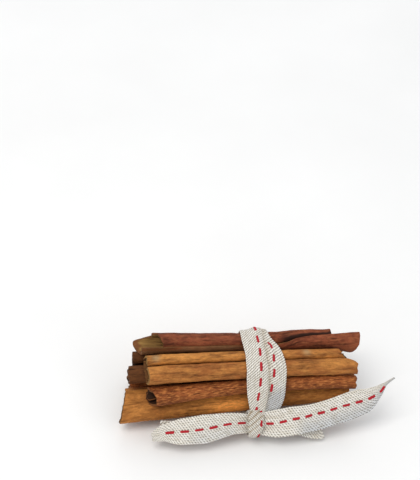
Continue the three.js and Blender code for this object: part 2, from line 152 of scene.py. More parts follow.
# two radii make a double quill; an edge rule moves the end by its first value, up to where
# it fades from its second to its third value across the bark; centre is Y and Z at three stations
sticks = [
    {
        "node": "stick_top", "bark": "redBark", "slot": "bark_red", "seed": 1,
        "radius": 3.5, "turns": 1.5, "edgeAngle": 160, "ends": (-26.2, 31.4), "ragged": 0.3,
        "centre": ((6.7, 10.85), (4.95, 8.65), (4.1, 7.65)), "scale": (1.15, 0.9, 0.98),
        "leftEdge": ((-6.0, 0.28, 0.37), (-2.0, 0.42, 0.46), (2.0, 0.1, 0.27), (-1.5, 0.46, 0.68)),
        "rightEdge": ((9.6, 0.03, 0.55), (1.1, 0.05, 0.2), (-1.1, 0.4, 0.55)),
        "opening": {"at": (9.5, 12.5, 15.9, 18.8, 22.5, 30.8, 42.0), "turn": (0, -6, -20, -37, -45, -52, -56),
                    "fullTurn": -52, "flare": 0.5, "droop": 1.5, "rise": 0.63},
        "rough": 0.8, "tones": {"all": (0.0, 0.05)}, "lip": -33.6,
    },
    {
        "node": "stick_front_upper", "bark": "tanBark", "slot": "bark_tan", "seed": 2,
        "radii": (1.9, 3.0), "turns": (1.1, 1.2), "face": 126, "ends": (-33.0, 34.6), "ragged": 0.2,
        "centre": ((-4.7, 9.15), (-5.0, 8.3), (-5.7, 6.95)), "scale": (1.12, 1.0, 0.94),
        "leftEdge": ((0.5, 0.92, 1.0), (-0.5, 0.6, 0.68), (0.5, 0.33, 0.4)), "bevel": 0.35,
        "rightEdge": ((-1.7, 0.66, 0.86), (3.2, 0.52, 0.6), (2.3, 0.38, 0.46), (-4.1, 0.18, 0.28)),
        "rough": 0.55, "tones": {"minus": (-0.25, -0.15), "plus": (0.75, -0.1)}, "pale": (21.5, -29.5),
    },
    {
        "node": "stick_front_middle", "bark": "roughBark", "slot": "bark_red", "seed": 3,
        "radius": 3.3, "turns": 1.2, "edgeAngle": 330, "wind": -1, "pitch": 1.72,
        "ends": (-32.6, 37.9), "ragged": 0.5,
        "centre": ((-9.6, 0.55), (-8.4, 1.98), (-9.4, 1.3)), "scale": (1.4, 0.8, 0.88), "rough": 1.5,
        "leftEdge": ((2.4, 0.45, 0.6), (-2.4, 0.12, 0.25)),
    },
    {
        "node": "stick_front_lower", "bark": "oliveBark", "slot": "bark_brown", "seed": 4,
        "radii": (2.65, 2.65), "turns": (1.1, 1.1), "face": 296, "ends": (-40.5, 36.6), "ragged": 0.12,
        "leftEdge": ((3.9, 0.3, 0.7), (-2.0, 0.64, 0.75)), "bevel": 0.4,
        "centre": ((-6.95, -6.6), (-6.65, -5.85), (-6.55, -5.05)), "scale": (1.14, 0.95, 0.9), "rough": 0.7,
        # lighter beside the ribbon: partly the bark's own paler tone, partly painted light that lifts the
        # shade cast there by the ribbon and the sticks above
        "toneAndPaintedLight": ((-5, 11, 2.1, "all"), (-5, 11, -1.0, "minus")),
    },
    {
        "node": "stick_core_front", "bark": "darkBark", "slot": "bark_dark", "seed": 5,
        "radius": 2.9, "turns": 1.6, "edgeAngle": 60, "ends": (-38.4, 34.0), "ragged": 0.25, "chip": 0.09,
        "centre": ((-1.0, 2.5), (-1.3, 2.3), (-1.4, 1.8)), "rough": 0.9,
    },
    {
        "node": "stick_core_back", "bark": "darkBark", "slot": "bark_dark", "seed": 6,
        "radius": 2.75, "turns": 1.6, "edgeAngle": 200, "ends": (-36.2, 31.0), "ragged": 0.25, "chip": 0.09,
        "centre": ((5.6, 3.4), (5.3, 2.3), (4.9, 1.4)), "rough": 0.9,
    },
    {
        "node": "stick_bottom", "bark": "tanBark", "slot": "bark_tan", "seed": 7,
        "radii": (2.5, 2.4), "turns": (1.1, 1.1), "face": 90, "ends": (-38.4, 36.8), "ragged": 0.6,
        "centre": ((-0.4, -11.25), (-0.4, -11.25), (-0.4, -11.35)), "lowest": True, "rough": 0.6,
    },
    {
        "node": "stick_bottom_back", "bark": "oliveBark", "slot": "bark_brown", "seed": 8,
        "radius": 2.85, "turns": 1.5, "edgeAngle": 108, "ends": (-36.4, 38.2), "ragged": 0.6,
        "centre": ((8.5, -11.4), (8.1, -11.4), (7.8, -11.55)), "lowest": True, "rough": 0.9,
    },
    {
        "node": "stick_core_lower", "bark": "roughBark", "slot": "bark_brown", "seed": 9,
        "radius": 2.9, "turns": 1.6, "edgeAngle": 20, "ends": (-37.6, 35.4), "ragged": 0.5,
        "centre": ((2.8, -4.5), (2.6, -4.4), (2.6, -4.5)), "rough": 1.1,
    },
    {
        "node": "stick_back", "bark": "tanBark", "slot": "bark_tan", "seed": 10,
        "radii": (2.6, 2.5), "turns": (1.1, 1.1), "face": 2, "ends": (-34.2, 37.4), "ragged": 0.7,
        "centre": ((11.4, -2.2), (10.9, -2.2), (10.4, -2.4)), "rough": 0.7,
    },
]

stickMesh = {"arcStep": 7.2, "backStep": 0.4, "rings": 150, "rimLayers": 2, "rimBulge": 0.07, "closer": 0.13}
closedRoll = {"at": (0, 1), "turn": (0, 0), "fullTurn": -52, "flare": 0, "droop": 0}
paleSpot = {"long": 1.3, "wide": 0.045, "across": 0.72}
barkRelief = {  # height, size across and along, number added to the seed, layers of noise
    "swellings": (0.16, 4.5, 16, 0, 3), "ridges": (0.07, 1.3, 9, 4, 3), "fibres": (0.05, 0.7, 3.2, 8, 2),
    "inner": (0.06, 1.0, 12, 11, 2),
}
chips = {"depth": 0.14, "splinter": 0.6, "chip": 2.4, "reach": 1.6}
quillParts = {"minus": (0.42, 0.52), "plus": (0.48, 0.58)}  # where the flat back turns into each roll


def rollPath(radius, turns, outward, step, closer=0.0):
    half = radius - 0.75 * rollPitch + bundle["bark"] / 2 + bundle["layerGap"] / 2 - closer
    angle = np.radians(np.arange(0, round(turns * 10) * 36 + 0.01, step))
    r = radius - rollPitch * angle / (2 * math.pi)
    return np.stack([outward * (half + r * np.sin(angle)), radius - r * np.cos(angle),
                     outward * np.sin(angle), -np.cos(angle)], 1), half


def doubleSection(stick):
    rolls = list(zip(stick["radii"], stick["turns"], (1, -1)))
    coarse = [rollPath(*roll, 36)[0] for roll in rolls]
    across = (coarse[0][:, 0].max() + coarse[1][:, 0].min()) / 2
    closer = stickMesh["closer"]  # the two rolls of a quill all but touch
    (plus, halfPlus), (minus, halfMinus) = (rollPath(*roll, stickMesh["arcStep"], closer) for roll in rolls)
    count = int((halfPlus + halfMinus) / stickMesh["backStep"])
    back = np.linspace(-halfMinus, halfPlus, count + 2)[1:-1]
    flat = np.stack([back, back * 0, back * 0, back * 0 - 1], 1)
    section = np.concatenate([minus[::-1], flat, plus])
    section[:, 0] -= across
    section[:, 1] -= (stick["radii"][0] + stick["radii"][1]) / 2
    return section


def edgeShift(rules, s):
    total = np.zeros_like(s)
    for amount, start, end in rules:
        total += amount * (1 - smoothStep(start, end, s))
    return total


def stickPlaces(stick):
    rings = stickMesh["rings"]
    double = "radii" in stick
    if double:
        section = doubleSection(stick)
        n = len(section)
    else:
        n = int(round(stick["turns"] * 10) * 36 / stickMesh["arcStep"]) + 1
    s = np.linspace(0, 1, n)
    left, right = (stick["ends"][i] + stick["ragged"] * waveLine(stick["seed"] + 5 * i, s * 2)
                   + edgeShift(stick.get(edge, ()), s) for i, edge in enumerate(("leftEdge", "rightEdge")))
    t = np.linspace(0, 1, rings)[:, None]
    x = left * (1 - t) + right * t

    if double:
        p, q, pn, qn = (np.repeat(section[None, :, c], rings, 0) for c in range(4))
        face = math.radians(stick["face"])
    else:
        opening = stick.get("opening", closedRoll)
        edgeTurn = np.interp(x, opening["at"], opening["turn"])
        flare = opening["flare"] * edgeTurn / opening["fullTurn"] * (1 - smoothStep(0, 0.3, s))
        flare += opening["droop"] * smoothStep(32, 40, x) * np.exp(-((s - 0.2) / 0.09) ** 2)
        turn = s * stick["turns"] * 360 + edgeTurn * (1 - s)
        r = stick["radius"] - stick.get("pitch", rollPitch) * turn / 360 + flare
        angle = np.radians(stick["edgeAngle"] + stick.get("wind", 1) * turn)
        p, q, pn, qn = r * np.cos(angle), r * np.sin(angle), np.cos(angle), np.sin(angle)
        face = math.radians(90)

    middle = rings // 2
    steps = np.hypot(np.diff(p[middle]), np.diff(q[middle]))
    u = np.concatenate([[0], np.cumsum(steps)])
    uu = np.repeat(u[None, :], rings, 0)

    seed = stick["seed"] * 20

    def relief(kind, rough=1):
        height, across, along, number, layers = barkRelief[kind]
        return height * rough * layeredNoise(uu / across, x / along, seed + number, layers)

    outer = relief("swellings") + relief("ridges", stick["rough"]) + relief("fibres", stick["rough"])
    inner = relief("inner")

    # ends: splinters and chips, thinner toward the edge of the bark
    toLeft, toRight = x - left, right - x
    chipLeft, chipRight = (
        stick.get("chip", chips["depth"])
        * (softNoise(u / chips["splinter"], u * 0, number)
           + 2 * np.maximum(0, softNoise(u / chips["chip"], u * 0, number + 1)))
        for number in (seed + 13, seed + 15))
    x = x + chipLeft * np.exp(-toLeft / chips["reach"]) - chipRight * np.exp(-toRight / chips["reach"])
    toSide = np.minimum(uu, u[-1] - uu)
    thin = 1 - 0.45 * np.exp(-toSide / 0.7) - 0.22 * np.exp(-np.minimum(toLeft, toRight) / 0.5)
    thin = thin * (1 + 0.12 * softNoise(uu / 3, x / 20, seed + 17))

    size = alongBundle(stick.get("scale", (1.04, 1.0, 0.94)), x)
    wobble = 0.12 * waveLine(stick["seed"] + 9, x * 0.06)
    yMid, zMid = (alongBundle([station[c] for station in stick["centre"]], x) for c in (0, 1))
    zMid = zMid + bundle["axisHeight"]
    if stick.get("lowest"):
        zMid = zMid + bundle["tieLift"] * (1 - smoothStep(11, 26, np.abs(x)))
    layers = []
    for side, bump in ((0.5, outer), (-0.5, inner)):
        reach = bundle["bark"] * side * (thin if side < 0 else 0.5 + 0.5 * thin) + bump
        pp = p * size + pn * reach
        qq = q * size + qn * reach
        y = yMid + pp * math.sin(face) + qq * math.cos(face) + wobble
        z = zMid - pp * math.cos(face) + qq * math.sin(face)
        if "opening" in stick:  # the roll within stands higher where the outer layer is open
            rise = opening["rise"] * smoothStep(9.0, 16.5, x) * smoothStep(0.42, 0.56, s)
            y, z = y + rise, z + rise
        z = np.maximum(0.0 if side > 0 else 0.3, z)
        bevel = stick.get("bevel", 0) * np.exp(-toLeft / 0.5) if side < 0 else 0
        layers.append(np.stack([x - bevel, y, z], -1))

    along = np.clip((x + 35) / 70, 0, 1)
    lightness, pale, paintedCreviceShade, lip = (np.zeros_like(x) for _ in range(4))
    where = {"all": np.ones(n), "minus": 1 - smoothStep(*quillParts["minus"], s),
             "plus": smoothStep(*quillParts["plus"], s)}
    for part, (atLeft, atRight) in stick.get("tones", {}).items():
        lightness += where[part] * (atLeft * (1 - along) + atRight * along)
    # painted light, with some of the bark's own paler tone: lifts patches that lie in shade
    for at, wide, amount, part in stick.get("toneAndPaintedLight", ()):
        lightness += amount * where[part] * np.exp(-((x - at) / wide) ** 2)
    if "opening" in stick:  # painted shade, dark where the layer below runs in under the open edge
        below = edgeTurn + 360 - turn
        wide = 11 + 4 * layeredNoise(uu * 0, x / 3, seed + 18)
        paintedCreviceShade = 1 - smoothStep(wide, wide + 7, below)
        paintedCreviceShade = np.maximum(paintedCreviceShade, 0.6 * (1 - smoothStep(15, 19, x)) * (1 - smoothStep(30, 60, below)))
        paintedCreviceShade *= (1 - smoothStep(-20, -4, edgeTurn)) * smoothStep(-60, -20, below)
        # painted shade: a dark line between the inner face and the lip strip at the left end
        paintedCreviceShade += 0.85 * (1 - smoothStep(0.015, 0.03, s)) * (1 - smoothStep(-23, -19, x))
    if "lip" in stick:
        limit = stick["lip"] + 9 * (1 - smoothStep(0.1, 0.16, s))
        limit = limit + 1.8 * layeredNoise(uu / 1.4, x / 1.4, seed + 19)
        lip = 1 - smoothStep(-0.5, 0.5, (x - limit) / 1.6)
        # the lip strip: its own orange-brown tone, and painted light that lifts the shade it lies in
        strip = 0.6 * (1 - smoothStep(0.06, 0.1, s)) * (1 - smoothStep(-8, 6, x))
        lip = np.maximum(lip, strip)
        pale += 0.7 * strip
    offLine = (s - paleSpot["across"]) / paleSpot["wide"]
    for at in stick.get("pale", ()):
        pale += np.exp(-((x - at) / paleSpot["long"]) ** 2 - offLine ** 2)
    return layers[0], layers[1], uu, x, np.stack([lightness, pale - paintedCreviceShade, lip], -1)


def buildStick(stick):
    outer, inner, u, v, shade = stickPlaces(stick)
    rings, n = u.shape
    count = rings * n
    quads = [sheetQuads(rings, n), sheetQuads(rings, n)[:, ::-1] + count]
    places = [outer.reshape(-1, 3), inner.reshape(-1, 3)]
    place = np.stack([u, v, np.full_like(u, stick["seed"] * 13.0)], -1).reshape(-1, 3)
    marks = [place, place]
    side = [np.zeros(count), np.ones(count)]
    shade = shade.reshape(-1, 3)
    shades = [shade, shade]

    # the rim between outer and inner face, slightly rounded
    loop = borderLoop(rings, n)
    previous = loop
    start = 2 * count
    total = stickMesh["rimLayers"] + 1
    for layer in range(1, total + 1):
        w = layer / total
        if layer == total:
            current = loop + count
        else:
            current = np.arange(len(loop)) + start
            start += len(loop)
            between = places[0][loop] * (1 - w) + places[1][loop] * w
            outward = np.sign(between[:, :1])
            between[:, :1] += outward * stickMesh["rimBulge"] * math.sin(math.pi * w)
            places.append(between)
            marks.append(place[loop])
            side.append(np.full(len(loop), w))
            shades.append(shade[loop])
        quads.append(np.stack([previous, current, np.roll(current, -1), np.roll(previous, -1)], 1))
        previous = current
    # faces point away from the roll's own middle line on the outer side
    if "radii" in stick:
        row = outer[rings // 2]
        area = np.sum(row[:-1, 1] * row[1:, 2] - row[1:, 1] * row[:-1, 2])
        flip = area > 0
    else:
        flip = stick.get("wind", 1) > 0
    if flip:
        quads = [part[:, ::-1] for part in quads]
    obj = placeMesh(stick["node"] + "_bark", places, quads,
                    {"barkPlace": marks, "barkSide": side, "barkShade": shades})
    return obj, outer


def tone(r, g, b):  # screen colour to a shader colour
    out = []
    for c in (r, g, b):
        c = c / 255
        out.append(c / 12.92 if c <= 0.04045 else ((c + 0.055) / 1.055) ** 2.4)
    return (*out, 1.0)


def setInputs(tree, node, values):
    for key, value in values.items():
        if isinstance(value, bpy.types.NodeSocket):
            tree.links.new(value, node.inputs[key])
        else:
            node.inputs[key].default_value = value


def addNode(tree, kind, values=None, **settings):
    node = tree.nodes.new("ShaderNode" + kind)
    for key, value in settings.items():
        setattr(node, key, value)
    setInputs(tree, node, values or {})
    return node


def readMark(tree, name, output="Vector"):
    return addNode(tree, "Attribute", attribute_name=name).outputs[output]


def split(tree, vector):
    return addNode(tree, "SeparateXYZ", {0: vector}).outputs


def bumpNormal(tree, height, strength, distance):
    values = {"Height": height, "Strength": strength, "Distance": distance}
    return addNode(tree, "Bump", values).outputs["Normal"]


def startMaterial(name):
    material = bpy.data.materials.new(name)
    material.use_nodes = True
    tree = material.node_tree
    return material, tree, tree.nodes["Principled BSDF"]


def ramp(tree, factor, stops):
    node = addNode(tree, "ValToRGB", {"Fac": factor})
    marks = node.color_ramp.elements
    while len(marks) < len(stops):
        marks.new(0.5)
    for mark, (place, colour) in zip(marks, stops):
        mark.position = place
        mark.color = colour if isinstance(colour, tuple) else (colour, colour, colour, 1.0)
    return node.outputs["Color"]


def arithmetic(tree, kinds):  # a function for each kind named, which places one such node
    def step(kind):
        return lambda a, b=0.0, clamp=False: addNode(
            tree, "Math", {0: a, 1: b}, operation=kind, use_clamp=clamp).outputs[0]
    return [step(kind.upper()) for kind in kinds.split()]


def mixColour(tree, factor, a, b, kind="MIX"):
    node = addNode(tree, "Mix", {0: factor, 6: a, 7: b}, data_type="RGBA", blend_type=kind)
    return node.outputs[2]


def newGroup(name, inputs, outputs):  # an input without a value is a vector
    group = bpy.data.node_groups.new(name, "ShaderNodeTree")
    for label, value in inputs.items():
        kind = "NodeSocketVector" if value is None else "NodeSocketFloat"
        socket = group.interface.new_socket(name=label, in_out="INPUT", socket_type=kind)
        if value is not None:
            socket.default_value = value
    for label in outputs:
        group.interface.new_socket(name=label, in_out="OUTPUT", socket_type="NodeSocketFloat")
    return group, group.nodes.new("NodeGroupInput").outputs, group.nodes.new("NodeGroupOutput")


def placedNoise(tree, place, scale, detail, roughness=0.5):
    scaled = addNode(tree, "VectorMath", {0: place, 1: scale}, operation="MULTIPLY")
    values = {"Vector": scaled.outputs[0], "Scale": 1.0, "Detail": detail, "Roughness": roughness}
    return addNode(tree, "TexNoise", values).outputs["Fac"]


def barkGrainGroup():
    group, given, out = newGroup(
        "barkGrain",
        {"Place": None, "Streak Wide": 0.8, "Streak Long": 9.0, "Fleck Long": 1.6, "Fleck Wide": 0.6},
        ("Streaks", "Mottle", "Fibre", "Flecks", "Specks", "Height"))
    place = given["Place"]
    add, multiply, divide = arithmetic(group, "add multiply divide")

    def grainSize(mark):  # a mark's size, from the group's inputs
        wide = divide(1.0, given[mark + " Wide"])
        long = divide(1.0, given[mark + " Long"])
        return addNode(group, "CombineXYZ", {"X": wide, "Y": long, "Z": 1.0}).outputs[0]

    streaks = placedNoise(group, place, grainSize("Streak"), 5.0, 0.62)
    mottle = placedNoise(group, place, (0.22, 0.09, 1.0), 4.0, 0.6)
    fibre = placedNoise(group, place, (1.7, 0.5, 1.0), 5.0, 0.75)
    flecks = placedNoise(group, place, grainSize("Fleck"), 4.0, 0.6)
    specks = placedNoise(group, place, (1.3, 0.8, 2.0), 5.0, 0.7)
    height = add(multiply(streaks, 0.6), multiply(fibre, 0.4))
    setInputs(group, out, {
        "Streaks": streaks, "Mottle": mottle, "Fibre": fibre, "Height": height,
        "Flecks": ramp(group, flecks, [(0.5, 0.0), (0.64, 1.0)]),
        "Specks": ramp(group, specks, [(0.3, 1.0), (0.4, 0.0)])})
    return group


barks = {  # screen colours; sizes of flecks and streaks are across the stick and along it
    "redBark": {
        "light": (144, 77, 48), "mid": (117, 57, 35), "dark": (69, 31, 17), "fleck": (162, 98, 60),
        "rim": ((69, 38, 20), (102, 60, 33), (137, 90, 49)),
        "inner": ((100, 71, 36), (182, 141, 78)),
        "fleckAmount": 0.4, "fleckSize": (0.6, 2.6), "streakSize": (1.1, 11.0), "bump": 0.5},
    "tanBark": {
        "light": (201, 135, 66), "mid": (158, 95, 45), "dark": (105, 60, 27), "fleck": (199, 137, 73),
        "rim": ((91, 63, 28), (132, 95, 48), (164, 126, 69)),
        "inner": ((69, 42, 19), (117, 76, 37)),
        "fleckAmount": 0.3, "fleckSize": (0.6, 3.0), "streakSize": (1.3, 13.0), "bump": 0.4},
    "roughBark": {
        "light": (164, 92, 46), "mid": (128, 68, 32), "dark": (79, 37, 14), "fleck": (199, 126, 66),
        "rim": ((75, 42, 19), (110, 66, 32), (136, 85, 44)),
        "inner": ((36, 19, 9), (66, 38, 18)),
        "fleckAmount": 0.95, "fleckSize": (0.34, 2.2), "streakSize": (0.5, 4.5), "bump": 0.9},
    "oliveBark": {
        "light": (193, 126, 60), "mid": (159, 98, 43), "dark": (107, 62, 24), "fleck": (197, 132, 65),
        "rim": ((73, 46, 19), (109, 72, 32), (146, 102, 51)),
        "inner": ((59, 36, 16), (102, 66, 31)),
        "fleckAmount": 0.3, "fleckSize": (0.6, 3.0), "streakSize": (1.2, 11.0), "bump": 0.4},
    "darkBark": {
        "light": (104, 61, 27), "mid": (83, 45, 19), "dark": (44, 23, 7), "fleck": (119, 73, 35),
        "rim": ((54, 31, 12), (87, 54, 24), (112, 73, 36)),
        "inner": ((38, 21, 8), (71, 42, 19)),
        "fleckAmount": 0.3, "fleckSize": (0.5, 2.4), "streakSize": (1.0, 8.0), "bump": 0.5},
}


def barkMaterial(name, look, grain):
    material, tree, shader = startMaterial(name)
    place = readMark(tree, "barkPlace")
    side = readMark(tree, "barkSide", "Fac")
    shade = split(tree, readMark(tree, "barkShade"))
    marks = addNode(tree, "Group", {"Place": place}, node_tree=grain)
    for mark in ("Streak", "Fleck"):
        wide, long = look[mark.lower() + "Size"]
        setInputs(tree, marks, {mark + " Wide": wide, mark + " Long": long})
    marks = marks.outputs
    add, subtract, multiply = arithmetic(tree, "add subtract multiply")
    light, mid, dark = (tone(*look[key]) for key in ("light", "mid", "dark"))

    toned = add(marks["Mottle"], multiply(shade["X"], 0.28))
    body = ramp(tree, toned, [(0.36, mid), (0.64, light)])
    # painted light: lightness above 1 goes towards a brighter colour, lifting bark that lies in shade; partly
    # the bark's own paler tone
    toneAndPaintedLight = tone(*(min(255, 1.3 * c) for c in look["light"]))
    body = mixColour(tree, subtract(shade["X"], 1.0, clamp=True), body, toneAndPaintedLight)
    streak = ramp(tree, marks["Streaks"], [(0.36, 1.0), (0.52, 0.0)])
    body = mixColour(tree, multiply(streak, 0.85), body, dark)
    fibre = ramp(tree, marks["Fibre"], [(0.3, 0.56), (0.7, 1.32)])
    body = mixColour(tree, 1.0, body, fibre, "MULTIPLY")
    for factor, amount, colour in (
            (marks["Flecks"], look["fleckAmount"], tone(*look["fleck"])),
            (marks["Specks"], 0.6, dark),
            (shade["Y"], 0.6, tone(168, 146, 108)),    # pale spots, and painted light on the lip strip
            (shade["Y"], -0.92, tone(34, 15, 7))):     # painted shade in crevices
        body = mixColour(tree, multiply(factor, amount, clamp=True), body, colour)

    # cut rim: pale layers; inner face: plainer
    layersAt = addNode(tree, "CombineXYZ", {"X": multiply(side, 5.0)})
    layersPlace = addNode(tree, "VectorMath", {0: place, 1: layersAt.outputs[0]}, operation="ADD")
    layers = placedNoise(tree, layersPlace.outputs[0], (1.2, 0.4, 1.0), 3.0, 0.6)
    rim = ramp(tree, layers, [(at, tone(*colour)) for at, colour in zip((0.38, 0.5, 0.62), look["rim"])])
    grained = ramp(tree, marks["Streaks"], [(0.35, 0.0), (0.65, 1.0)])
    innerFace = mixColour(tree, grained, *(tone(*colour) for colour in look["inner"]))
    lip = mixColour(tree, 1.0, body, fibre, "MULTIPLY")
    lip = mixColour(tree, 0.65, lip, tone(112, 76, 38))
    body = mixColour(tree, multiply(shade["Z"], 0.85), body, lip)
    innerFace = mixColour(tree, shade["Z"], innerFace, lip)
    rim = mixColour(tree, shade["Z"], rim, lip)
    body = mixColour(tree, ramp(tree, side, [(0.02, 0.0), (0.16, 1.0)]), body, rim)
    body = mixColour(tree, ramp(tree, side, [(0.84, 0.0), (0.98, 1.0)]), body, innerFace)
    setInputs(tree, shader, {
        "Base Color": body, "Specular IOR Level": 0.2,
        "Roughness": ramp(tree, marks["Streaks"], [(0.3, 0.86), (0.7, 0.66)]),
        "Normal": bumpNormal(tree, marks["Height"], look["bump"], 0.0006)})
    return material


barkGrain = barkGrainGroup()
barkMaterials = {name: barkMaterial(name, look, barkGrain) for name, look in barks.items()}

tiedPlaces = []
for stick in sticks:
    obj, outer = buildStick(stick)
    obj.data.materials.append(barkMaterials[stick["bark"]])
    obj.data.set_sharp_from_angle(angle=sharpAngle)
    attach(obj, "root")
    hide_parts(stick["node"])
    near = (outer[..., 0] > -3) & (outer[..., 0] < 14.5)
    tiedPlaces.append(outer[near][:, 1:])
print("sticks built:", len(sticks))


ribbon = {
    "wide": 10.0,
    "thick": 0.48,
    "step": 0.26,                    # between rows of the mesh along the ribbon
    "across": 15,                    # points across it
    "clear": 0.14,                   # air between ribbon and sticks
    "ease": 0.08,                    # slack of the wraps
    "gatherReach": 4.5,              # pleats fade out over this length from the knot
    "scallop": (0.06, 0.95),         # depth and period of the selvedge
    "knot": (2.4, -18.4, 7.9),
    "ringCentre": (0.5, 13.0),       # of the wraps, in Y and Z
    "lengths": {
        "leftLoop": {
            "middle": ((2.4, -18.4, 7.8), (-5.3, -18.65, 8.85), (-14.7, -19.6, 8.45),
                       (-23.3, -19.75, 8.15), (-28.4, -19.4, 7.6), (-32, -19.4, 5.6), (-29, -17.8, 5.35),
                       (-21, -16.8, 5.55), (-10.6, -16.4, 6), (1.4, -16.8, 6.6)),
            "upper": ((-0.1, 0.6, 0.8), (-0.1, 0.7, 0.7), (-0.1, 0.7, 0.7), (-0.1, 0.7, 0.7),
                      (-0.1, 0.66, 0.74), (-0.3, 0.5, 0.8), (-0.1, 0.55, 0.82), (0, 0.55, 0.82),
                      (0, 0.55, 0.82), (-0.1, 0.6, 0.8)),
            "widths": (0.6, 0.73, 0.97, 0.86, 0.56, 0.24, 0.45, 0.68, 0.66, 0.5),
            "gathered": (1, 1), "ripple": 0.25, "twill": -1, "coolShade": (0.45, 3, 26),
        },
        "rightLoop": {
            "middle": ((2.5, -18.2, 7.3), (9.7, -18.6, 6.15), (16.6, -18.95, 5.9), (22.4, -19.9, 4.7),
                       (25.6, -19.7, 4.1), (22.8, -17.6, 5.2), (16, -16.5, 5.8), (8.4, -16.3, 6.1),
                       (3.4, -16.8, 6.6)),
            "upper": ((0, 0.6, 0.8), (0, 0.7, 0.7), (0, 0.72, 0.69), (0.1, 0.74, 0.67), (0.3, 0.74, 0.6),
                      (0.1, 0.7, 0.7), (0, 0.6, 0.8), (0, 0.6, 0.8), (0, 0.6, 0.8)),
            "widths": (0.6, 0.64, 0.64, 0.7, 0.7, 0.62, 0.6, 0.6, 0.5),
            "gathered": (1, 1), "ripple": 0.2,
        },
        "rightTail": {
            "middle": ((2.4, -18.4, 7.8), (9.4, -19.7, 8.5), (14.6, -19.65, 9), (21.8, -19.15, 9.35),
                       (28.1, -18.4, 10.35), (35.4, -17.1, 11.8), (40.3, -16.1, 12.9),
                       (44.2, -14.75, 14.8), (47.5, -13.25, 17.1), (50.6, -12.2, 18.8)),
            "upper": ((0.2, 0.6, 0.8), (0, 0.7, 0.7), (0, 0.7, 0.7), (0, 0.7, 0.7), (0, 0.7, 0.7),
                      (0, 0.7, 0.7), (-0.05, 0.7, 0.7), (-0.3, 0.6, 0.65), (-0.5, 0.55, 0.6),
                      (-0.7, 0.5, 0.5)),
            "widths": (0.7, 0.93, 0.96, 0.9, 0.9, 0.94, 0.84, 0.45, 0.1, 0.03),
            "gathered": (1, 0), "ripple": 0.3, "coolShade": (0.9, 12, 60),
        },
        "leftTail": {
            "middle": ((2.7, -17.4, 6.5), (-7.1, -16.2, 5.4), (-17.4, -16.35, 4.95),
                       (-24.3, -16.35, 5.05), (-29.1, -16.2, 5.5)),
            "upper": ((0, 0.6, 0.8), (0, 0.6, 0.8), (0, 0.62, 0.78), (0.1, 0.62, 0.78),
                      (0.15, 0.62, 0.78)),
            "widths": (0.45, 0.6, 0.65, 0.62, 0.62),
            "gathered": (1, 0), "ripple": 0.25,
        },
    },
}


def gridNormals(grid, closed):
    along = np.roll(grid, -1, 0) - np.roll(grid, 1, 0) if closed else np.gradient(grid, axis=0)
    return unit(np.cross(along, np.gradient(grid, axis=1)))


def makeStrip(name, grid, weft, distance, length, closed, crease, coolShade=0.0):
    rows, cols = grid.shape[:2]
    return {"name": name, "grid": grid, "closed": closed, "length": length,
            "place": np.stack([np.repeat(weft, rows, 0), np.repeat(distance, cols, 1)], -1),
            "shade": np.stack([crease, coolShade + 0 * crease], -1)}


def measureRing(grid):  # distance along the middle of a closed strip, and its whole length
    middle = grid[:, ribbon["across"] // 2]
    steps = np.linalg.norm(np.roll(middle, -1, 0) - middle, axis=1)
    return np.concatenate([[0], np.cumsum(steps)[:-1]])[:, None], steps.sum()


def layLength(name, length):
    samples = np.linspace(0, 1, 200)
    steps = np.linalg.norm(np.diff(curveThrough(length["middle"], samples), axis=0), axis=1)
    total = steps.sum()
    rows = int(total / ribbon["step"])
    u = np.interp(np.linspace(0, total, rows), np.concatenate([[0], np.cumsum(steps)]), samples)
    middle = curveThrough(length["middle"], u)
    upper = curveThrough(length["upper"], u)
    along = unit(np.gradient(middle, axis=0))
    upper = unit(upper - along * np.sum(upper * along, 1, keepdims=True))
    out = np.cross(along, upper)
    widths = np.interp(u * (len(length["widths"]) - 1), np.arange(len(length["widths"])), length["widths"])
    t = np.linspace(-1, 1, ribbon["across"])[None, :]
    distance = np.linspace(0, total, rows)[:, None]

    # pleats near the knot, slow ripples further out
    atStart, atEnd = length["gathered"]
    atKnot = atStart * np.exp(-distance / ribbon["gatherReach"])
    atKnot = atKnot + atEnd * np.exp(-(total - distance) / ribbon["gatherReach"])
    fold = np.sin(t * 7.5 + 0.8)
    bump = 0.55 * atKnot * fold
    bump = bump + length["ripple"] * (1 - atKnot) * np.sin(distance / 5.3 + t * 1.3)
    # painted tan shade in the pleat valleys near the knot
    crease = 0.7 * np.minimum(1, atKnot) * smoothStep(0.1, 1, -fold)
    coolest, coolFrom, coolTo = length.get("coolShade", (0, 0, 1))  # painted cool shade where the cloth faces down
    coolShade = coolest * smoothStep(-0.5, 0.9, -t) * smoothStep(coolFrom, coolFrom + 6, distance)
    coolShade = coolShade * (1 - smoothStep(coolTo - 7, coolTo, distance))
    half = ribbon["wide"] / 2 * widths[:, None]
    grid = middle[:, None, :] + upper[:, None, :] * (t * half)[..., None] + out[:, None, :] * bump[..., None]
    weft = (1 + t * length.get("twill", 1)) * ribbon["wide"] / 2
    return makeStrip(name, grid, weft, distance, total, False, crease, coolShade)


def smoothRing(values, kernel):
    reach = len(kernel) // 2
    wide = np.concatenate([values[-reach:], values, values[:reach]])
    return np.convolve(wide, kernel / kernel.sum(), "valid")


def ringReach(points, count=720):  # distance from the wraps' centre to the taut ribbon, all round
    centre = np.array(ribbon["ringCentre"])
    angles = np.arange(count) * 2 * math.pi / count
    directions = np.stack([np.cos(angles), np.sin(angles)], 1)
    support = (directions @ (points - centre).T).max(1)  # support function of the hull
    reach = np.full(count, 1e9)
    for offset in range(-count // 4 + 1, count // 4):
        rolled = np.roll(support, -offset)
        reach = np.minimum(reach, rolled / math.cos(offset * 2 * math.pi / count))
    return smoothRing(reach, np.exp(-np.linspace(-2, 2, 17) ** 2)) + ribbon["ease"]


